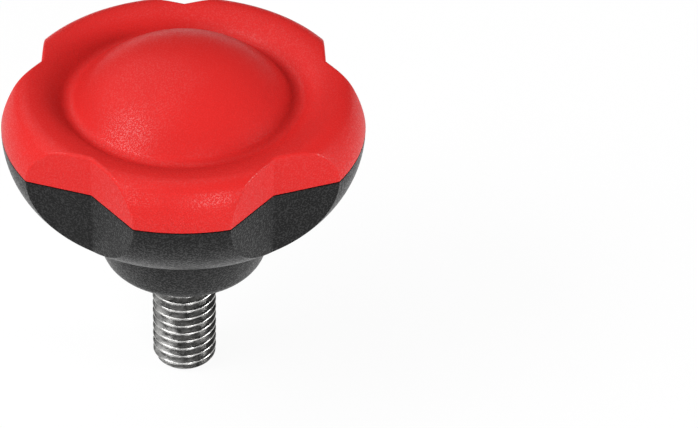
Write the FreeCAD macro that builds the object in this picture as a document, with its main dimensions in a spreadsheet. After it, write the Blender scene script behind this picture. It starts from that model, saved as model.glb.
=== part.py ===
import FreeCAD, Part
import enum
import math
import os

import Sketcher

# Star knob with five lobes, a threaded stud and a two-part moulded grip, in millimetres.
# The origin is the centre of the seating face under the hub: the stud points down along -Z,
# the crown is up, and one lobe faces -Y.

SIZES = {
    # grip outline, seen along the axis
    "lobes": 5,
    "grip_radius": 27.5,
    "notch_depth": 4.8,
    "notch_slope": 16.6,
    "notch_root_fillet": 0.3,
    "cutter_margin": 5.5,
    # black body outside, the parting line's height taken from the seating face
    "parting_height": 24.9,
    "bowl_height": 10.6,
    "bowl_radius": 13.3,
    "bowl_edge_fillet": 0.4,
    "hub_top_radius": 15.2,
    "hub_flank_radius": 40.0,
    "hub_corner_radius": 3.2,
    "seat_radius": 9.7,
    # red cover outside, heights above its own lower rim
    "crest_inset": 4.3,
    "crest_radius": 3.0,
    "rim_height": 6.7,
    "groove_inset": 10.2,
    "groove_height": 3.45,
    "groove_fillet": 1.6,
    "dome_rise": 9.45,
    "facet_fillet": 0.5,
    # moulded walls and the joint between cover and body
    "wall": 2.4,
    "floor_thickness": 2.5,
    "rebate_inset": 1.2,
    "lip_depth": 2.0,
    "parting_gap": 0.2,
    "fit_clearance": 0.1,
    # inside of the body
    "boss_radius": 8.5,
    "boss_cover": 2.5,
    "hub_pocket_width": 2.3,
    "hub_pocket_floor": 5.0,
    "rib_thickness": 1.8,
    "rib_drop": 4.0,
    "peg_inset": 7.5,
    "peg_radius": 1.5,
    "peg_length": 7.0,
    "socket_radius": 3.0,
    "socket_drop": 3.0,
    "socket_depth": 5.0,
    # steel stud, M10 thread
    "stud_radius": 5.0,
    "stud_length": 20.0,
    "stud_chamfer": 1.0,
    "collar_radius": 6.0,
    "collar_length": 14.0,
    "collar_chamfer": 0.5,
    "groove_width": 2.0,
    "groove_root_radius": 4.6,
    "flutes": 16,
    "flute_start": 1.0,
    "flute_depth": 0.4,
    "flute_half_width": 0.8,
}

os.makedirs("parts", exist_ok=True)
doc = FreeCAD.newDocument("star_knob")

sheet = doc.addObject("Spreadsheet::Sheet", "sizes")
for row, (name, value) in enumerate(SIZES.items(), start=1):
    sheet.set(f"A{row}", name)
    sheet.set(f"B{row}", str(value))
    sheet.setAlias(f"B{row}", name)
doc.recompute()


def size(name):
    return float(sheet.get(name))


def value_of(expression):
    """The present value of an expression on the sheet."""
    return sheet.evalExpression(expression)


# Expressions that more than one sketch uses
UNDERSIDE = "(sizes.parting_height - sizes.bowl_height)"
NOTCH_ROOT = "(sizes.grip_radius - sizes.notch_depth)"
GROOVE_RADIUS = "(sizes.grip_radius - sizes.groove_inset)"
PEG_CENTRE = "(sizes.peg_inset - sizes.grip_radius)"
CAP_BASE = "(sizes.parting_height + sizes.parting_gap)"
REBATE_DEPTH = "(sizes.lip_depth - sizes.parting_gap)"

# The same height as a number, for the first drawing of each sketch
cap_base = value_of(CAP_BASE)

# Share of a height within which two heights count as one
SAME = 1e-6


class Spot(enum.IntEnum):
    """The points of an edge, as a sketch rule numbers them."""
    START = 1
    END = 2
    CENTRE = 3


class Axis(enum.IntEnum):
    """The sketch's own axes, as a sketch rule numbers them."""
    H = -1
    V = -2


START, END, CENTRE = Spot
H_AXIS, V_AXIS = Axis
ORIGIN = (H_AXIS, START)


def plane(body, role):
    return next(item for item in body.Origin.OriginFeatures if item.Role == role)


def new_body(name):
    body = doc.addObject("PartDesign::Body", name)
    body.Label = name
    body.Placement = FreeCAD.Placement()
    return body


def new_sketch(body, name, role, level=None):
    sketch = body.newObject("Sketcher::SketchObject", name)
    sketch.AttachmentSupport = [(plane(body, role), "")]
    sketch.MapMode = "FlatFace"
    if level is not None:
        sketch.setExpression("AttachmentOffset.Base.z", level)
    return sketch


def line(sketch, start, end):
    return sketch.addGeometry(Part.LineSegment(FreeCAD.Vector(*start, 0), FreeCAD.Vector(*end, 0)))


def arc(sketch, centre, radius, start_angle, end_angle):
    circle = Part.Circle(FreeCAD.Vector(*centre, 0), FreeCAD.Vector(0, 0, 1), radius)
    return sketch.addGeometry(Part.ArcOfCircle(circle, start_angle, end_angle))


def rule(sketch, kind, *parts):
    return sketch.addConstraint(Sketcher.Constraint(kind, *parts))


def measure(sketch, kind, parts, expression):
    index = rule(sketch, kind, *parts, value_of(expression))
    sketch.setExpression(f"Constraints[{index}]", expression)


def place_point(sketch, geometry, point, x, y):
    """Ties a point to its distances from the sketch origin, along X and along Y."""
    for kind, expression in (("DistanceX", x), ("DistanceY", y)):
        measure(sketch, kind, (*ORIGIN, geometry, point), expression)


def chain(sketch, corners):
    """Draws straight edges round the corners, each corner given by its pair of expressions."""
    points = [(value_of(x), value_of(y)) for x, y in corners]
    edges = [line(sketch, points[i - 1], points[i]) for i in range(len(points))]
    for i, corner in enumerate(corners):
        rule(sketch, "Coincident", edges[i - 1], END, edges[i], START)
        place_point(sketch, edges[i], END, *corner)
    return edges


def revolve(body, name, sketch):
    feature = body.newObject("PartDesign::Revolution", name)
    feature.Profile = sketch
    feature.ReferenceAxis = (sketch, ["V_Axis"])
    feature.Angle = 360
    sketch.Visibility = False
    doc.recompute()
    return feature


def extrude(body, kind, name, sketch, length=None, upwards=False):
    """Pad or pocket of a level sketch. With no length a pocket cuts through everything."""
    feature = body.newObject(f"PartDesign::{kind}", name)
    feature.Profile = sketch
    # A pocket starts out cutting downwards and a pad building upwards
    feature.Reversed = upwards if kind == "Pocket" else not upwards
    if length is None:
        feature.Type = "ThroughAll"
    else:
        feature.setExpression("Length", length)
    doc.recompute()
    return feature


def repeat_round(body, name, feature, count):
    pattern = body.newObject("PartDesign::PolarPattern", name)
    pattern.Originals = [feature]
    pattern.Axis = (feature.Profile[0], ["N_Axis"])
    pattern.Angle = 360
    pattern.setExpression("Occurrences", count)
    body.Tip = pattern
    doc.recompute()
    return pattern


def cut_notches(body, name, level, inset="0", length=None, upwards=False):
    """Cuts the V notches that part the lobes. The inset moves every facet inwards by a wall."""
    root_centre = f"{NOTCH_ROOT} + sizes.notch_root_fillet / cos(sizes.notch_slope * 1 deg)"
    reach = "sizes.grip_radius + sizes.cutter_margin"
    slope = math.radians(size("notch_slope"))
    centre, outside = value_of(root_centre), value_of(reach)
    radius = size("notch_root_fillet") + value_of(inset)
    foot = (radius * math.sin(slope), centre - radius * math.cos(slope))
    half_width = foot[0] + (outside - foot[1]) / math.tan(slope)
    sketch = new_sketch(body, f"{name}_sketch", "XY_Plane", level)
    root = arc(sketch, (0, centre), radius, -math.pi / 2 - slope, -math.pi / 2 + slope)
    right = line(sketch, foot, (half_width, outside))
    top = line(sketch, (half_width, outside), (-half_width, outside))
    left = line(sketch, (-half_width, outside), (-foot[0], foot[1]))
    rule(sketch, "Tangent", root, END, right, START)
    rule(sketch, "Coincident", right, END, top, START)
    rule(sketch, "Coincident", top, END, left, START)
    rule(sketch, "Tangent", left, END, root, START)
    rule(sketch, "PointOnObject", root, CENTRE, V_AXIS)
    rule(sketch, "Symmetric", top, START, top, END, V_AXIS)
    measure(sketch, "DistanceY", (*ORIGIN, root, CENTRE), root_centre)
    measure(sketch, "Radius", (root,), f"sizes.notch_root_fillet + {inset}")
    measure(sketch, "DistanceY", (*ORIGIN, top, START), reach)
    measure(sketch, "Angle", (right,), "sizes.notch_slope * 1 deg")
    pocket = extrude(body, "Pocket", name, sketch, length, upwards)
    return repeat_round(body, f"{name}_round", pocket, "sizes.lobes")


def round_sketch(body, name, level, radius, centre_y="0"):
    """A circle on the YZ plane of symmetry, used for discs, pegs and sockets."""
    sketch = new_sketch(body, name, "XY_Plane", level)
    centre = FreeCAD.Vector(0, value_of(centre_y), 0)
    circle = sketch.addGeometry(Part.Circle(centre, FreeCAD.Vector(0, 0, 1), value_of(radius)))
    measure(sketch, "Radius", (circle,), radius)
    rule(sketch, "PointOnObject", circle, CENTRE, V_AXIS)
    if centre_y == "0":
        rule(sketch, "PointOnObject", circle, CENTRE, H_AXIS)
    else:
        measure(sketch, "DistanceY", (*ORIGIN, circle, CENTRE), centre_y)
    return sketch


def hollow(body, name, core):
    feature = body.newObject("PartDesign::Boolean", name)
    feature.setObjects([core])
    feature.Type = "Cut"
    body.Tip = feature
    doc.recompute()
    return feature


def circle_crossings(first, first_radius, second, second_radius):
    """The two points where two circles cross."""
    gap = second - first
    along = (gap.dot(gap) + first_radius ** 2 - second_radius ** 2) / (2 * gap.Length)
    across = math.sqrt(first_radius ** 2 - along ** 2)
    unit = gap / gap.Length
    side = FreeCAD.Vector(-unit.y, unit.x, 0)
    return [first + unit * along + side * across, first + unit * along - side * across]


def heading(start, end):
    return math.atan2(end.y - start.y, end.x - start.x)


def crown_shape():
    """Centre, radius and end angles of each arc of the crown, from the dome out to the parting line."""
    radius, crest, fillet = size("grip_radius"), size("crest_radius"), size("groove_fillet")
    inset, rim_height = size("crest_inset"), size("rim_height")
    groove = FreeCAD.Vector(value_of(GROOVE_RADIUS), cap_base + size("groove_height"), 0)
    rise = size("dome_rise")
    dome_radius = (groove.x ** 2 + rise ** 2) / (2 * rise)
    dome = FreeCAD.Vector(0, groove.y + rise - dome_radius, 0)
    crest_top = FreeCAD.Vector(radius - inset, cap_base + rim_height, 0)
    run, drop = crest_top.x - groove.x, crest_top.y - groove.y
    rim_radius = (run ** 2 + drop ** 2) / (2 * drop)
    rim = crest_top - FreeCAD.Vector(0, rim_radius, 0)
    crest_centre = crest_top - FreeCAD.Vector(0, crest, 0)
    shoulder = (inset ** 2 + (rim_height - crest) ** 2 - crest ** 2) / (2 * (inset - crest))
    side = FreeCAD.Vector(radius - shoulder, cap_base, 0)
    crossings = circle_crossings(dome, dome_radius + fillet, rim, rim_radius + fillet)
    valley = max(crossings, key=lambda point: point.y)
    join = heading(side, crest_centre)
    return {
        "dome": (dome, dome_radius, heading(dome, valley), math.pi / 2),
        "valley": (valley, fillet, heading(valley, dome), heading(valley, rim)),
        "rim": (rim, rim_radius, math.pi / 2, heading(rim, valley)),
        "crest": (crest_centre, crest, join, math.pi / 2),
        "side": (side, shoulder, 0, join),
    }


def draw_crown(sketch, construction=False):
    """The crown's outline: dome, valley, inner slope of the rim, crest and shoulder."""
    edges = {name: arc(sketch, centre[:2], *rest) for name, (centre, *rest) in crown_shape().items()}
    dome, valley, rim, crest, side = edges.values()
    if construction:
        for edge in edges.values():
            sketch.setConstruction(edge, True)
    rule(sketch, "Tangent", dome, START, valley, START)
    rule(sketch, "Tangent", valley, END, rim, END)
    rule(sketch, "Tangent", rim, START, crest, END)
    rule(sketch, "Tangent", crest, START, side, END)
    rule(sketch, "PointOnObject", dome, CENTRE, V_AXIS)
    rule(sketch, "PointOnObject", dome, END, V_AXIS)
    rule(sketch, "Vertical", rim, CENTRE, rim, START)
    measure(sketch, "DistanceY", (*ORIGIN, dome, END),
            f"{CAP_BASE} + sizes.groove_height + sizes.dome_rise")
    # The groove's place is where dome and rim would meet without the fillet between them
    level = cap_base + size("groove_height")
    groove = sketch.addGeometry(Part.Point(FreeCAD.Vector(value_of(GROOVE_RADIUS), level, 0)), True)
    rule(sketch, "PointOnObject", groove, START, dome)
    rule(sketch, "PointOnObject", groove, START, rim)
    place_point(sketch, groove, START, GROOVE_RADIUS, f"{CAP_BASE} + sizes.groove_height")
    place_point(sketch, crest, END, "sizes.grip_radius - sizes.crest_inset",
                f"{CAP_BASE} + sizes.rim_height")
    place_point(sketch, side, START, "sizes.grip_radius", CAP_BASE)
    measure(sketch, "DistanceY", (*ORIGIN, side, CENTRE), CAP_BASE)
    measure(sketch, "Radius", (crest,), "sizes.crest_radius")
    measure(sketch, "Radius", (valley,), "sizes.groove_fillet")
    return edges


def cover_outside(body):
    sketch = new_sketch(body, "cover_section", "XZ_Plane")
    crown = draw_crown(sketch)
    apex = cap_base + size("groove_height") + size("dome_rise")
    base = line(sketch, (size("grip_radius"), cap_base), (0, cap_base))
    axis = line(sketch, (0, cap_base), (0, apex))
    rule(sketch, "Coincident", crown["side"], START, base, START)
    rule(sketch, "Coincident", base, END, axis, START)
    rule(sketch, "Coincident", axis, END, crown["dome"], END)
    rule(sketch, "Horizontal", base)
    rule(sketch, "Vertical", axis)
    return revolve(body, "cover_blank", sketch)


def cover_inside(body):
    """The space under the cover: the crown moved inwards by one wall, down to the lip's foot."""
    sketch = new_sketch(body, "cover_core_section", "XZ_Plane")
    crown = draw_crown(sketch, construction=True)
    shape = crown_shape()
    wall = size("wall")
    foot = cap_base - size("lip_depth")
    edge_radius = size("grip_radius") - wall
    dome_centre, dome_radius, dome_start, dome_end = shape["dome"]
    valley_centre, valley_radius, valley_start, valley_end = shape["valley"]
    rim_centre, rim_radius, _, rim_end = shape["rim"]
    side_centre, side_radius, _, _ = shape["side"]
    crossings = circle_crossings(rim_centre, rim_radius - wall, side_centre, side_radius - wall)
    corner = max(crossings, key=lambda point: point.y)
    dome = arc(sketch, dome_centre[:2], dome_radius - wall, dome_start, dome_end)
    valley = arc(sketch, valley_centre[:2], valley_radius + wall, valley_start, valley_end)
    rim = arc(sketch, rim_centre[:2], rim_radius - wall, heading(rim_centre, corner), rim_end)
    side = arc(sketch, side_centre[:2], side_radius - wall, 0, heading(side_centre, corner))
    skirt = line(sketch, (edge_radius, cap_base), (edge_radius, foot))
    base = line(sketch, (edge_radius, foot), (0, foot))
    axis = line(sketch, (0, foot), (0, dome_centre.y + dome_radius - wall))
    for inner, name in ((dome, "dome"), (valley, "valley"), (rim, "rim"), (side, "side")):
        rule(sketch, "Coincident", inner, CENTRE, crown[name], CENTRE)
    rule(sketch, "Tangent", dome, START, valley, START)
    rule(sketch, "Tangent", valley, END, rim, END)
    rule(sketch, "Coincident", rim, START, side, END)
    rule(sketch, "Coincident", side, START, skirt, START)
    rule(sketch, "Coincident", skirt, END, base, START)
    rule(sketch, "Coincident", base, END, axis, START)
    rule(sketch, "Coincident", axis, END, dome, END)
    rule(sketch, "Vertical", skirt)
    rule(sketch, "Horizontal", base)
    rule(sketch, "Vertical", axis)
    rule(sketch, "PointOnObject", axis, START, V_AXIS)
    place_point(sketch, skirt, START, "sizes.grip_radius - sizes.wall", CAP_BASE)
    measure(sketch, "DistanceY", (*ORIGIN, base, START), f"{CAP_BASE} - sizes.lip_depth")
    measure(sketch, "Radius", (valley,), "sizes.groove_fillet + sizes.wall")
    return revolve(body, "cover_core_blank", sketch)


def body_outside(body):
    sketch = new_sketch(body, "body_section", "XZ_Plane")
    top, under = size("parting_height"), value_of(UNDERSIDE)
    bowl, foot_fillet = size("bowl_radius"), size("bowl_edge_fillet")
    flank, corner = size("hub_flank_radius"), size("hub_corner_radius")
    bowl_centre = FreeCAD.Vector(size("grip_radius") - bowl, top, 0)
    foot_level = under + foot_fillet
    foot_reach = math.sqrt((bowl - foot_fillet) ** 2 - (top - foot_level) ** 2)
    foot_centre = FreeCAD.Vector(bowl_centre.x + foot_reach, foot_level, 0)
    bowl_end = heading(bowl_centre, foot_centre)
    hub_top = FreeCAD.Vector(size("hub_top_radius"), under, 0)
    corner_centre = FreeCAD.Vector(size("seat_radius"), corner, 0)
    crossings = circle_crossings(hub_top, flank, corner_centre, flank - corner)
    flank_centre = min(crossings, key=lambda point: point.x)
    flank_end = heading(flank_centre, corner_centre)
    side = arc(sketch, bowl_centre[:2], bowl, bowl_end, 0)
    foot = arc(sketch, foot_centre[:2], foot_fillet, -math.pi / 2, bowl_end)
    underside = line(sketch, (foot_centre.x, under), hub_top[:2])
    hub = arc(sketch, flank_centre[:2], flank, flank_end, heading(flank_centre, hub_top))
    edge = arc(sketch, corner_centre[:2], corner, -math.pi / 2, flank_end)
    seat = line(sketch, (size("seat_radius"), 0), (0, 0))
    axis = line(sketch, (0, 0), (0, top))
    parting = line(sketch, (0, top), (size("grip_radius"), top))
    rule(sketch, "Tangent", side, START, foot, END)
    rule(sketch, "Tangent", foot, START, underside, START)
    rule(sketch, "Coincident", underside, END, hub, END)
    rule(sketch, "Tangent", hub, START, edge, END)
    rule(sketch, "Tangent", edge, START, seat, START)
    rule(sketch, "Coincident", seat, END, axis, START)
    rule(sketch, "Coincident", axis, END, parting, START)
    rule(sketch, "Coincident", parting, END, side, END)
    rule(sketch, "Horizontal", underside)
    rule(sketch, "Horizontal", parting)
    rule(sketch, "Horizontal", seat)
    rule(sketch, "Vertical", axis)
    rule(sketch, "Coincident", seat, END, *ORIGIN)
    rule(sketch, "PointOnObject", side, CENTRE, parting)
    place_point(sketch, parting, END, "sizes.grip_radius", "sizes.parting_height")
    place_point(sketch, underside, END, "sizes.hub_top_radius", UNDERSIDE)
    measure(sketch, "DistanceX", (*ORIGIN, seat, START), "sizes.seat_radius")
    measure(sketch, "Radius", (side,), "sizes.bowl_radius")
    measure(sketch, "Radius", (foot,), "sizes.bowl_edge_fillet")
    measure(sketch, "Radius", (hub,), "sizes.hub_flank_radius")
    measure(sketch, "Radius", (edge,), "sizes.hub_corner_radius")
    return revolve(body, "body_blank", sketch)


def body_inside(body):
    """The space in the body: bowl, floor, the ring pocket in the hub and the room over the boss."""
    sketch = new_sketch(body, "body_core_section", "XZ_Plane")
    wall = size("wall")
    top = size("parting_height")
    floor = value_of(UNDERSIDE) + size("floor_thickness")
    inner_bowl = size("bowl_radius") - wall
    bowl_centre = FreeCAD.Vector(size("grip_radius") - size("bowl_radius"), top, 0)
    bowl_angle = math.asin((top - floor) / inner_bowl)
    boss_top = size("collar_length") + size("boss_cover")
    pocket_foot = size("boss_radius") + size("hub_pocket_width")
    side = arc(sketch, bowl_centre[:2], inner_bowl, -bowl_angle, 0)
    corners = [
        (bowl_centre.x + inner_bowl * math.cos(bowl_angle), floor),
        (size("hub_top_radius") - wall, floor),
        (pocket_foot, size("hub_pocket_floor")),
        (size("boss_radius"), size("hub_pocket_floor")),
        (size("boss_radius"), boss_top),
        (0, boss_top),
        (0, top),
        (size("grip_radius") - wall, top),
    ]
    edges = [line(sketch, corners[i], corners[i + 1]) for i in range(len(corners) - 1)]
    rule(sketch, "Coincident", side, START, edges[0], START)
    for i in range(len(edges) - 1):
        rule(sketch, "Coincident", edges[i], END, edges[i + 1], START)
    rule(sketch, "Coincident", edges[-1], END, side, END)
    floor_edge, flank, foot, boss, roof, axis, parting = edges
    for level_edge in (floor_edge, foot, roof, parting):
        rule(sketch, "Horizontal", level_edge)
    for upright in (boss, axis):
        rule(sketch, "Vertical", upright)
    rule(sketch, "PointOnObject", axis, START, V_AXIS)
    rule(sketch, "PointOnObject", side, CENTRE, parting)
    place_point(sketch, parting, END, "sizes.grip_radius - sizes.wall", "sizes.parting_height")
    place_point(sketch, flank, START, "sizes.hub_top_radius - sizes.wall",
                f"{UNDERSIDE} + sizes.floor_thickness")
    place_point(sketch, flank, END, "sizes.boss_radius + sizes.hub_pocket_width",
                "sizes.hub_pocket_floor")
    place_point(sketch, roof, START, "sizes.boss_radius", "sizes.collar_length + sizes.boss_cover")
    measure(sketch, "Radius", (side,), "sizes.bowl_radius - sizes.wall")
    return revolve(body, "body_core_blank", sketch)


def turn_stud(body):
    """The stud as it is turned: threaded shank, and a knurled collar with a retaining groove."""
    sketch = new_sketch(body, f"{body.Name}_section", "XZ_Plane")
    groove_low = "(sizes.collar_length - sizes.groove_width) / 2"
    groove_high = "(sizes.collar_length + sizes.groove_width) / 2"
    chain(sketch, [
        ("0", "-sizes.stud_length"),
        ("sizes.stud_radius - sizes.stud_chamfer", "-sizes.stud_length"),
        ("sizes.stud_radius", "sizes.stud_chamfer - sizes.stud_length"),
        ("sizes.stud_radius", "0"),
        ("sizes.collar_radius", "0"),
        ("sizes.collar_radius", groove_low),
        ("sizes.groove_root_radius", groove_low),
        ("sizes.groove_root_radius", groove_high),
        ("sizes.collar_radius", groove_high),
        ("sizes.collar_radius", "sizes.collar_length - sizes.collar_chamfer"),
        ("sizes.collar_radius - sizes.collar_chamfer", "sizes.collar_length"),
        ("0", "sizes.collar_length"),
    ])
    revolve(body, f"{body.Name}_turned", sketch)
    # Straight V flutes keep the collar from turning in the plastic. They stop short of the seating
    # face, where the collar's plain end lies flush with the hub
    flute = new_sketch(body, f"{body.Name}_flute_section", "XY_Plane", "sizes.flute_start")
    chain(flute, [
        ("0", "sizes.collar_radius - sizes.flute_depth"),
        ("sizes.flute_half_width", "sizes.collar_radius + sizes.flute_depth"),
        ("-sizes.flute_half_width", "sizes.collar_radius + sizes.flute_depth"),
    ])
    cut = extrude(body, "Pocket", f"{body.Name}_flute", flute, upwards=True)
    return repeat_round(body, f"{body.Name}_knurl", cut, "sizes.flutes")


def round_facets(body):
    """Softens the edge where each facet of the notches runs out over the shoulder and crest."""
    shape = body.Tip.Shape
    flat, rolled, ring = "Part::GeomPlane", "Part::GeomCylinder", "Part::GeomToroid"
    names = []
    for number, edge in enumerate(shape.Edges, start=1):
        meeting = {face.Surface.TypeId for face in shape.ancestorsOfType(edge, Part.Face)}
        on_base = all(math.isclose(vertex.Z, cap_base, rel_tol=SAME) for vertex in edge.Vertexes)
        if meeting in ({flat, ring}, {rolled, ring}) and not on_base:
            names.append(f"Edge{number}")
    base = body.Tip
    feature = body.newObject("PartDesign::Fillet", "facet_rounding")
    feature.Base = (base, names)
    feature.setExpression("Radius", "sizes.facet_fillet")
    body.Tip = feature
    doc.recompute()
    return feature


# Threaded steel stud, moulded into the body by its knurled collar
threaded_stud = new_body("threaded_stud")
turn_stud(threaded_stud)

# Room inside the red cover, with the five pegs left standing in it
cover_core = new_body("cover_core")
cover_inside(cover_core)
CAP_FOOT = f"{CAP_BASE} - sizes.lip_depth"
cut_notches(cover_core, "cover_core_notch", CAP_FOOT, inset="sizes.wall", upwards=True)
peg_hole = round_sketch(cover_core, "cover_core_peg_sketch", CAP_FOOT, "sizes.peg_radius", PEG_CENTRE)
peg_hole_cut = extrude(cover_core, "Pocket", "cover_core_peg", peg_hole, upwards=True)
repeat_round(cover_core, "cover_core_peg_round", peg_hole_cut, "sizes.lobes")

# Red cover: blank with notches, a lip under it that drops into the body, then hollowed
cover_cap = new_body("cover_cap")
cover_outside(cover_cap)
cut_notches(cover_cap, "cover_notch", CAP_BASE, upwards=True)
round_facets(cover_cap)
LIP_INSET = "sizes.rebate_inset + sizes.fit_clearance"
lip_disc = round_sketch(cover_cap, "lip_sketch", CAP_BASE, f"sizes.grip_radius - ({LIP_INSET})")
extrude(cover_cap, "Pad", "lip", lip_disc, "sizes.lip_depth")
cut_notches(cover_cap, "lip_notch", CAP_BASE, inset=LIP_INSET)
hollow(cover_cap, "cover_hollow", cover_core)
peg = round_sketch(cover_cap, "peg_sketch", CAP_BASE, "sizes.peg_radius", PEG_CENTRE)
peg_pad = extrude(cover_cap, "Pad", "peg", peg, "sizes.peg_length")
repeat_round(cover_cap, "peg_round", peg_pad, "sizes.lobes")

# Room inside the black body, with ribs and peg sockets left standing in it
body_core = new_body("body_core")
body_inside(body_core)
cut_notches(body_core, "body_core_notch", "sizes.parting_height", inset="sizes.wall")
RIB_TOP = "sizes.parting_height - sizes.rib_drop"
rib_sketch = new_sketch(body_core, "rib_sketch", "XY_Plane", RIB_TOP)
chain(rib_sketch, [
    ("-sizes.rib_thickness / 2", "0"),
    ("sizes.rib_thickness / 2", "0"),
    ("sizes.rib_thickness / 2", "sizes.grip_radius"),
    ("-sizes.rib_thickness / 2", "sizes.grip_radius"),
])
rib_cut = extrude(body_core, "Pocket", "rib", rib_sketch)
repeat_round(body_core, "rib_round", rib_cut, "2 * sizes.lobes")
SOCKET_TOP = "sizes.parting_height - sizes.socket_drop"
tube = round_sketch(body_core, "socket_tube_sketch", SOCKET_TOP, "sizes.socket_radius", PEG_CENTRE)
tube_cut = extrude(body_core, "Pocket", "socket_tube", tube)
repeat_round(body_core, "socket_tube_round", tube_cut, "sizes.lobes")
rebate = round_sketch(body_core, "rebate_sketch", "sizes.parting_height",
                      "sizes.grip_radius - sizes.rebate_inset")
extrude(body_core, "Pad", "rebate", rebate, REBATE_DEPTH)
cut_notches(body_core, "rebate_notch", "sizes.parting_height", inset="sizes.rebate_inset",
            length=REBATE_DEPTH)

# The seat that the plastic forms round the stud
stud_seat = new_body("stud_seat")
turn_stud(stud_seat)

# Black grip body: blank with notches, hollowed from above, moulded round the stud
grip_body = new_body("grip_body")
body_outside(grip_body)
cut_notches(grip_body, "body_notch", "sizes.parting_height")
hollow(grip_body, "body_hollow", body_core)
hollow(grip_body, "body_stud_seat", stud_seat)
socket = round_sketch(grip_body, "socket_sketch", SOCKET_TOP,
                      "sizes.peg_radius + sizes.fit_clearance", PEG_CENTRE)
socket_cut = extrude(grip_body, "Pocket", "socket", socket, "sizes.socket_depth")
repeat_round(grip_body, "socket_round", socket_cut, "sizes.lobes")

doc.recompute()
for item in doc.Objects:
    if {"Invalid", "Error"} & set(item.State):
        raise RuntimeError(f"{item.Label} failed: {item.State}")

PIECES = (cover_cap, grip_body, threaded_stud)
for piece in PIECES:
    if piece.Shape.isNull() or not piece.Shape.isValid():
        raise RuntimeError(f"{piece.Label} has no valid shape")
for piece in PIECES:
    print(piece.Label, "solids", len(piece.Shape.Solids), "volume", round(piece.Shape.Volume, 1))
    piece.Shape.exportStep(f"parts/{piece.Label}.step")
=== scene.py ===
import bmesh
import bpy
import math
from mathutils import Matrix, Vector


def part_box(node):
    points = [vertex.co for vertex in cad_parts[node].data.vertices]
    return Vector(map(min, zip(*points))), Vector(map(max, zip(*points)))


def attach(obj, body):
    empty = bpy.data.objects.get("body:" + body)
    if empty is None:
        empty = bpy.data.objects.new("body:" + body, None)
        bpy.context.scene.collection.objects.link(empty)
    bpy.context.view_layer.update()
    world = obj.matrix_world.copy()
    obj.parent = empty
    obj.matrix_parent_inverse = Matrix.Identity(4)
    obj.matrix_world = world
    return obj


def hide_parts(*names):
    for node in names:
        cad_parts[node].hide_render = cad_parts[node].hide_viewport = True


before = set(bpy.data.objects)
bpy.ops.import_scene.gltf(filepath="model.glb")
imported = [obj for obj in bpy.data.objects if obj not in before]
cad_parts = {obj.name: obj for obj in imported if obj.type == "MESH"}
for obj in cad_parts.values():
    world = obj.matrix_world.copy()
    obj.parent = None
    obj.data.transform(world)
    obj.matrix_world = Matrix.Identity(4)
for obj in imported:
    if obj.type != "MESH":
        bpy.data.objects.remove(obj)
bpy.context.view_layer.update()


# Steel stud
# A zinc-plated steel stud with a rolled M10 thread, 1.5 mm from crest to crest. Its grooved collar
# is moulded into the hub, flush with the seating face, so only the threaded length stands out.

STUD_LOW, STUD_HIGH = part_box("threaded_stud")
SHANK_LENGTH = -STUD_LOW.z
PITCH = 0.0015
CREST_RADIUS = 0.005
ROOT_RADIUS = 0.00408
ROOT_ROUNDING = 0.000217
FLANK_SLOPE = math.radians(60)
TIP_RADIUS = 0.0040
COLLAR_RADIUS = 0.006
COLLAR_HEIGHT = STUD_HIGH.z
COLLAR_CHAMFER = 0.0005
GROOVE_LOW = 0.006
GROOVE_HIGH = 0.008
GROOVE_RADIUS = 0.0046

ROUNDING_STEPS = 2
FLANK_STEPS = 4
TURN_STEPS = 72
SPARE_TURNS = 2
MERGE_DISTANCE = 2e-6
SHARP_ANGLE = math.radians(40)

STEEL_BRIGHT = (0.62, 0.615, 0.60, 1)
FILM_DARK = (0.13, 0.1295, 0.128, 1)
FILM_PALE = (0.38, 0.377, 0.37, 1)
STEEL_ROUGHNESS = 0.2
FILM_ROUGHNESS = 0.2
STAIN_SCALE = 700.0
FILM_STARTS = 0.33
FILM_FULL = 0.70
# The crests are rubbed from one radius outwards, and fully bright from the next
RUBBED_RADIUS = 0.00488
BRIGHT_RADIUS = 0.00499
RUBBED_UNEVENNESS = 0.0001
LINE_SCALE = 900.0
LINE_STRETCH = 7
LINE_STRENGTH = 0.6
LINE_DEPTH = 0.00003


def new_piece(name, bm):
    """Turns a finished bmesh into an object that sits at the origin, its place in its mesh."""
    bmesh.ops.remove_doubles(bm, verts=bm.verts, dist=MERGE_DISTANCE)
    bmesh.ops.recalc_face_normals(bm, faces=bm.faces)
    mesh = bpy.data.meshes.new(name)
    bm.to_mesh(mesh)
    bm.free()
    piece = bpy.data.objects.new(name, mesh)
    bpy.context.scene.collection.objects.link(piece)
    return piece


def open_chain(bm, points):
    """A chain of edges in the XZ plane through points of radius and height."""
    verts = [bm.verts.new((radius, 0, height)) for radius, height in points]
    return verts + [bm.edges.new(pair) for pair in zip(verts, verts[1:])]


def cut_level(bm, height, upwards):
    """Cuts the mesh off level, takes away what lies beyond and closes the cut."""
    cut = bmesh.ops.bisect_plane(
        bm, geom=bm.verts[:] + bm.edges[:] + bm.faces[:], dist=MERGE_DISTANCE,
        plane_co=(0, 0, height), plane_no=(0, 0, 1 if upwards else -1), clear_outer=True)
    rim = [item for item in cut["geom_cut"] if isinstance(item, bmesh.types.BMEdge)]
    bmesh.ops.edgeloop_fill(bm, edges=rim)


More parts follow.
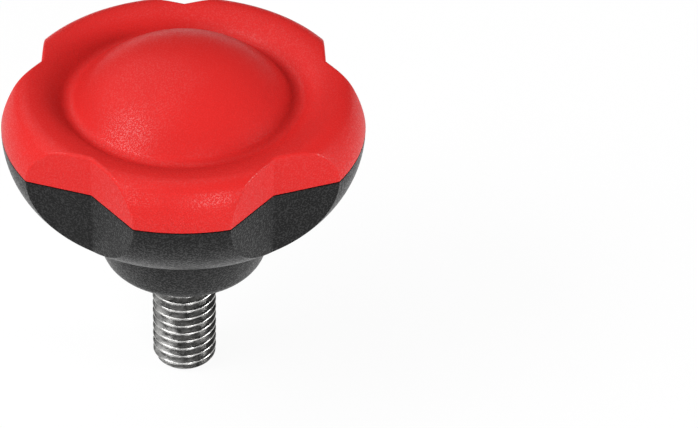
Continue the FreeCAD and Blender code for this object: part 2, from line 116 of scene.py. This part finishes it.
class Shade:
    """A value or colour in a material. Arithmetic on it adds the nodes that work it out."""

    def __init__(self, tree, socket=None):
        self.tree = tree
        self.socket = socket

    def node(self, kind, settings=None, inputs=None, output=None):
        """Adds a node, sets it up, feeds its inputs and returns one of its outputs."""
        node = self.tree.nodes.new(kind)
        for name, value in (settings or {}).items():
            if name == "stops":
                for place, shade in value:
                    stop = node.color_ramp.elements.new(place)
                    stop.color = (shade, shade, shade, 1)
                # The two stops that a new ramp has lie at its ends
                node.color_ramp.elements.remove(node.color_ramp.elements[0])
                node.color_ramp.elements.remove(node.color_ramp.elements[-1])
            else:
                setattr(node, name, value)
        sockets = {socket.identifier: socket for socket in node.inputs}
        for name, value in (inputs or {}).items():
            if isinstance(value, Shade):
                self.tree.links.new(value.socket, sockets[name])
            else:
                sockets[name].default_value = value
        outputs = {socket.identifier: socket for socket in node.outputs}
        first = next(iter(node.outputs), None)
        return Shade(self.tree, outputs[output] if output else first)

    def work_out(self, operation, first, second):
        """Adds a Math node for two values, each a number or a Shade."""
        return self.node("ShaderNodeMath", {"operation": operation}, {"Value": first, "Value_001": second})

    def __add__(self, other):
        return self.work_out("ADD", self, other)

    def __radd__(self, other):
        return self.work_out("ADD", other, self)

    def __sub__(self, other):
        return self.work_out("SUBTRACT", self, other)

    def __rsub__(self, other):
        return self.work_out("SUBTRACT", other, self)

    def __mul__(self, other):
        return self.work_out("MULTIPLY", self, other)

    def __rmul__(self, other):
        return self.work_out("MULTIPLY", other, self)

    def colour(self, low, high):
        """The colour between two colours, with this value as the share of the second."""
        return self.node("ShaderNodeMix", {"data_type": "RGBA"},
                         {"Factor_Float": self, "A_Color": low, "B_Color": high}, "Result_Color")


def new_material(name):
    """A material with no surface yet, and the coordinates of the object to draw patterns on."""
    material = bpy.data.materials.new(name)
    material.use_nodes = True
    material.node_tree.nodes.clear()
    shade = Shade(material.node_tree)
    place = shade.node("ShaderNodeTexCoord", output="Object")
    return material, shade, place


def finish_material(shade, surface):
    """Gives the material its surface."""
    shade.node("ShaderNodeOutputMaterial", inputs={"Surface": surface})


def plated_steel():
    """Zinc plate on rolled steel: faint rolling lines, a dull film, and crests rubbed bright."""
    material, shade, place = new_material("zinc_plated_steel")
    bands = shade.node("ShaderNodeMapping", inputs={"Vector": place, "Scale": (1, 1, LINE_STRETCH)})
    rolled = shade.node("ShaderNodeTexNoise", inputs={
        "Vector": bands, "Scale": LINE_SCALE, "Detail": 3.0, "Roughness": 0.6})
    stain = shade.node("ShaderNodeTexNoise", inputs={
        "Vector": place, "Scale": STAIN_SCALE, "Detail": 5.0, "Roughness": 0.6})
    film = shade.node("ShaderNodeValToRGB", {"stops": [(FILM_STARTS, 0.0), (FILM_FULL, 1.0)]},
                      {"Fac": stain})
    level = shade.node("ShaderNodeVectorMath", {"operation": "MULTIPLY"},
                       {"Vector": place, "Vector_001": (1, 1, 0)})
    reach = shade.node("ShaderNodeVectorMath", {"operation": "LENGTH"}, {"Vector": level}, "Value")
    rubbed = shade.node("ShaderNodeMapRange", inputs={
        "Value": reach + RUBBED_UNEVENNESS * (film - 0.5),
        "From Min": RUBBED_RADIUS, "From Max": BRIGHT_RADIUS})
    dull = film.colour(FILM_DARK, FILM_PALE)
    bump = shade.node("ShaderNodeBump", inputs={
        "Strength": LINE_STRENGTH, "Distance": LINE_DEPTH, "Height": rolled})
    finish_material(shade, shade.node("ShaderNodeBsdfPrincipled", inputs={
        "Base Color": rubbed.colour(dull, STEEL_BRIGHT), "Metallic": 1.0,
        "Roughness": STEEL_ROUGHNESS + FILM_ROUGHNESS * film, "Normal": bump}))
    return material


def thread_profile():
    """Radius and height over one pitch: rounded root, straight flank, rounded crest, and back."""
    spare = PITCH / 2 * math.tan(FLANK_SLOPE) - (CREST_RADIUS - ROOT_RADIUS)
    crest_rounding = spare / (1 / math.cos(FLANK_SLOPE) - 1) - ROOT_ROUNDING
    turns = [FLANK_SLOPE * step / ROUNDING_STEPS for step in range(ROUNDING_STEPS + 1)]
    root = [Vector((ROOT_RADIUS + ROOT_ROUNDING * (1 - math.cos(turn)), ROOT_ROUNDING * math.sin(turn)))
            for turn in turns]
    crest = [Vector((CREST_RADIUS - crest_rounding * (1 - math.cos(turn)),
                     PITCH / 2 - crest_rounding * math.sin(turn))) for turn in reversed(turns)]
    flank = [root[-1].lerp(crest[0], step / FLANK_STEPS) for step in range(1, FLANK_STEPS)]
    rising = root + flank + crest
    return rising + [Vector((radius, PITCH - height)) for radius, height in reversed(rising[:-1])]


def roll_thread():
    """One turn of the helix, repeated a pitch apart, then cut to length and chamfered at the tip."""
    bm = bmesh.new()
    start = -SHANK_LENGTH - SPARE_TURNS * PITCH
    profile = [(radius, start + height) for radius, height in thread_profile()]
    bmesh.ops.spin(bm, geom=open_chain(bm, profile), cent=(0, 0, 0), axis=(0, 0, 1),
                   dvec=(0, 0, PITCH / TURN_STEPS), angle=math.tau, steps=TURN_STEPS)
    turn = bm.verts[:] + bm.edges[:] + bm.faces[:]
    for lift in range(1, math.ceil(SHANK_LENGTH / PITCH) + 2 * SPARE_TURNS):
        copy = bmesh.ops.duplicate(bm, geom=turn)["geom"]
        verts = [item for item in copy if isinstance(item, bmesh.types.BMVert)]
        bmesh.ops.translate(bm, verts=verts, vec=(0, 0, lift * PITCH))
    bmesh.ops.remove_doubles(bm, verts=bm.verts, dist=MERGE_DISTANCE)
    cut_level(bm, -SHANK_LENGTH, upwards=False)
    cut_level(bm, 0, upwards=True)
    for vert in bm.verts:
        vert.co.z = max(vert.co.z, -SHANK_LENGTH)
        limit = TIP_RADIUS + vert.co.z + SHANK_LENGTH
        reach = vert.co.xy.length
        if reach > limit:
            vert.co.xy *= limit / reach
    return bm


def turn_collar(bm):
    """The grooved collar above the seating face, inside the plastic."""
    outline = [
        (0, 0), (COLLAR_RADIUS, 0), (COLLAR_RADIUS, GROOVE_LOW), (GROOVE_RADIUS, GROOVE_LOW),
        (GROOVE_RADIUS, GROOVE_HIGH), (COLLAR_RADIUS, GROOVE_HIGH),
        (COLLAR_RADIUS, COLLAR_HEIGHT - COLLAR_CHAMFER),
        (COLLAR_RADIUS - COLLAR_CHAMFER, COLLAR_HEIGHT), (0, COLLAR_HEIGHT),
    ]
    bmesh.ops.spin(bm, geom=open_chain(bm, outline), cent=(0, 0, 0), axis=(0, 0, 1),
                   angle=math.tau, steps=TURN_STEPS, use_merge=True)


stud_mesh = roll_thread()
turn_collar(stud_mesh)
stud = new_piece("threaded_stud_rolled", stud_mesh)
stud.data.materials.append(plated_steel())
stud.data.shade_smooth()
stud.data.set_sharp_from_angle(angle=SHARP_ANGLE)
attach(stud, "root")
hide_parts("threaded_stud")


# Black grip body
# The lower shell of the grip and the hub in one moulding, in glass-filled black plastic round the
# stud's collar. The mould was spark-eroded, so every face has the same fine matt grain.

BLACK_DEEP = (0.006, 0.006, 0.0061, 1)
BLACK_PALE = (0.011, 0.011, 0.0112, 1)
GRAIN_SHARE = 0.7
PIT_SHARE = 0.5
PITS_PER_GRAIN = 0.77
PEAK_STARTS = 0.60
PEAK_FULL = 0.70
PEAK_ROUGHNESS = 0.28
CLOUD_SCALE = 160.0
CLOUD_ROUGHNESS = 0.12


def moulded_plastic(name, deep, pale, roughness, sheen, grain_size, grain_depth, glint):
    """Plastic with the skin of a spark-eroded mould: matt all over, with fine peaks that glint."""
    material, shade, place = new_material(name)
    grain = shade.node("ShaderNodeTexNoise", inputs={
        "Vector": place, "Scale": 1 / grain_size, "Detail": 1.0, "Roughness": 0.5})
    pits = shade.node("ShaderNodeTexVoronoi", {"feature": "SMOOTH_F1"}, {
        "Vector": place, "Scale": PITS_PER_GRAIN / grain_size, "Smoothness": 0.5})
    cloud = shade.node("ShaderNodeTexNoise", inputs={
        "Vector": place, "Scale": CLOUD_SCALE, "Detail": 2.0, "Roughness": 0.5})
    skin = grain * GRAIN_SHARE + pits * PIT_SHARE
    peaks = shade.node("ShaderNodeValToRGB", {"stops": [(PEAK_STARTS, 0.0), (PEAK_FULL, 1.0)]},
                       {"Fac": skin})
    bump = shade.node("ShaderNodeBump", inputs={
        "Strength": 1.0, "Distance": grain_depth, "Height": skin})
    finish_material(shade, shade.node("ShaderNodeBsdfPrincipled", inputs={
        "Base Color": cloud.colour(deep, pale),
        "Roughness": roughness + CLOUD_ROUGHNESS * (cloud - 0.5),
        "Specular IOR Level": sheen,
        "Coat Weight": peaks * glint, "Coat Roughness": PEAK_ROUGHNESS,
        "Normal": bump}))
    return material


def dress(node, material):
    """Gives every slot of a CAD piece the finished material."""
    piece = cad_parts[node]
    for slot in piece.material_slots:
        slot.material = material


dress("grip_body", moulded_plastic(
    "black_moulded_plastic", BLACK_DEEP, BLACK_PALE, roughness=0.35, sheen=0.10,
    grain_size=0.00022, grain_depth=0.0001, glint=0.5))


# Red cover
# The domed top shell of the grip, moulded in red plastic and pressed onto the body by five pegs.
# It comes from the same kind of spark-eroded mould, with a slightly finer and shallower grain.

RED_DEEP = (0.52, 0.0160, 0.0150, 1)
RED_PALE = (0.55, 0.0190, 0.0170, 1)

dress("cover_cap", moulded_plastic(
    "red_moulded_plastic", RED_DEEP, RED_PALE, roughness=0.43, sheen=0.07,
    grain_size=0.00017, grain_depth=0.00004, glint=0.38))


# Floor
# A plain white table top, just clear of the tip of the stud. It shows as white to the camera and
# in reflections, and keeps a soft share of the knob's shadow.

FLOOR_GAP = 0.0002
FLOOR_HALF_WIDTH = 2.0
FLOOR_PAINT = (0.86, 0.86, 0.86, 1)
FLOOR_GLOW = 0.92


def white_table():
    """White paint that glows where the camera or a reflection sees it, and else only bounces light."""
    material, shade, _ = new_material("white_table_top")
    seen = (shade.node("ShaderNodeLightPath", output="Is Camera Ray")
            + shade.node("ShaderNodeLightPath", output="Is Glossy Ray")
            + shade.node("ShaderNodeLightPath", output="Is Transmission Ray"))
    painted = shade.node("ShaderNodeBsdfDiffuse", inputs={"Color": FLOOR_PAINT})
    glow = shade.node("ShaderNodeEmission", inputs={"Color": (1, 1, 1, 1), "Strength": 1.0})
    mixed = shade.node("ShaderNodeMixShader", inputs={
        "Fac": seen * FLOOR_GLOW, "Shader": painted, "Shader_001": glow})
    finish_material(shade, mixed)
    return material


floor_mesh = bmesh.new()
bmesh.ops.create_grid(floor_mesh, x_segments=1, y_segments=1, size=FLOOR_HALF_WIDTH)
bmesh.ops.translate(floor_mesh, verts=floor_mesh.verts, vec=(0, 0, STUD_LOW.z - FLOOR_GAP))
floor = new_piece("table_top", floor_mesh)
floor.data.materials.append(white_table())


# Light
# Two large soft lamps from the left and the back left, and three small low ones that fill the
# front and the right side of the grip, in a room that is darker than the white table.

AIM = Vector((0, 0, 0.015))
LAMP_DISTANCE = 0.9
ROOM_STRENGTH = 0.08


def way_out(azimuth, elevation):
    """The direction out from the knob. Azimuth is counted from the front towards the right."""
    turn = math.radians(azimuth)
    lift = math.radians(elevation)
    return Vector((math.sin(turn) * math.cos(lift), -math.cos(turn) * math.cos(lift), math.sin(lift)))


def soft_lamp(name, azimuth, elevation, width, power):
    """A square lamp aimed at the knob."""
    away = way_out(azimuth, elevation)
    lamp = bpy.data.lights.new(name, "AREA")
    lamp.size = width
    lamp.energy = power
    holder = bpy.data.objects.new(name, lamp)
    bpy.context.scene.collection.objects.link(holder)
    facing = away.to_track_quat("Z", "Y").to_matrix().to_4x4()
    holder.matrix_world = Matrix.Translation(AIM + away * LAMP_DISTANCE) @ facing


soft_lamp("left_lamp", azimuth=-68, elevation=40, width=0.5, power=6.0)
soft_lamp("back_left_lamp", azimuth=-118, elevation=58, width=1.2, power=6.3)
soft_lamp("front_left_lamp", azimuth=-30, elevation=24, width=0.3, power=1.3)
soft_lamp("front_right_lamp", azimuth=18, elevation=25, width=0.3, power=3.4)
soft_lamp("right_lamp", azimuth=78, elevation=10, width=0.3, power=5.2)

room = bpy.data.worlds.new("pale_room")
room.use_nodes = True
room.node_tree.nodes["Background"].inputs["Color"].default_value = (1, 1, 1, 1)
room.node_tree.nodes["Background"].inputs["Strength"].default_value = ROOM_STRENGTH
bpy.context.scene.world = room


# Camera
# A long lens above the front of the knob, shifted so that the knob stands left in the picture.

CAMERA_AZIMUTH = 0.64
CAMERA_ELEVATION = 35.65
CAMERA_ROLL = math.radians(-0.31)
CAMERA_DISTANCE = 0.4962
CAMERA_AIM = Vector((0, 0, 0.025))
FOCAL_PIXELS = 3287.0
IMAGE_WIDTH = 698
IMAGE_HEIGHT = 428
AIM_PIXEL = (183.4, 122.9)
SENSOR_WIDTH = 36.0

lens = bpy.data.cameras.new("camera")
lens.sensor_width = SENSOR_WIDTH
lens.lens = FOCAL_PIXELS / IMAGE_WIDTH * SENSOR_WIDTH
lens.shift_x = (IMAGE_WIDTH / 2 - AIM_PIXEL[0]) / IMAGE_WIDTH
lens.shift_y = (AIM_PIXEL[1] - IMAGE_HEIGHT / 2) / IMAGE_WIDTH
camera = bpy.data.objects.new("camera", lens)
bpy.context.scene.collection.objects.link(camera)
back = way_out(CAMERA_AZIMUTH, CAMERA_ELEVATION)
right = way_out(CAMERA_AZIMUTH + 90, 0)
facing = Matrix((right, back.cross(right), back)).transposed().to_4x4()
camera.matrix_world = (Matrix.Translation(CAMERA_AIM + back * CAMERA_DISTANCE)
                       @ facing @ Matrix.Rotation(CAMERA_ROLL, 4, "Z"))
bpy.context.scene.camera = camera
bpy.context.scene.view_settings.view_transform = "Standard"
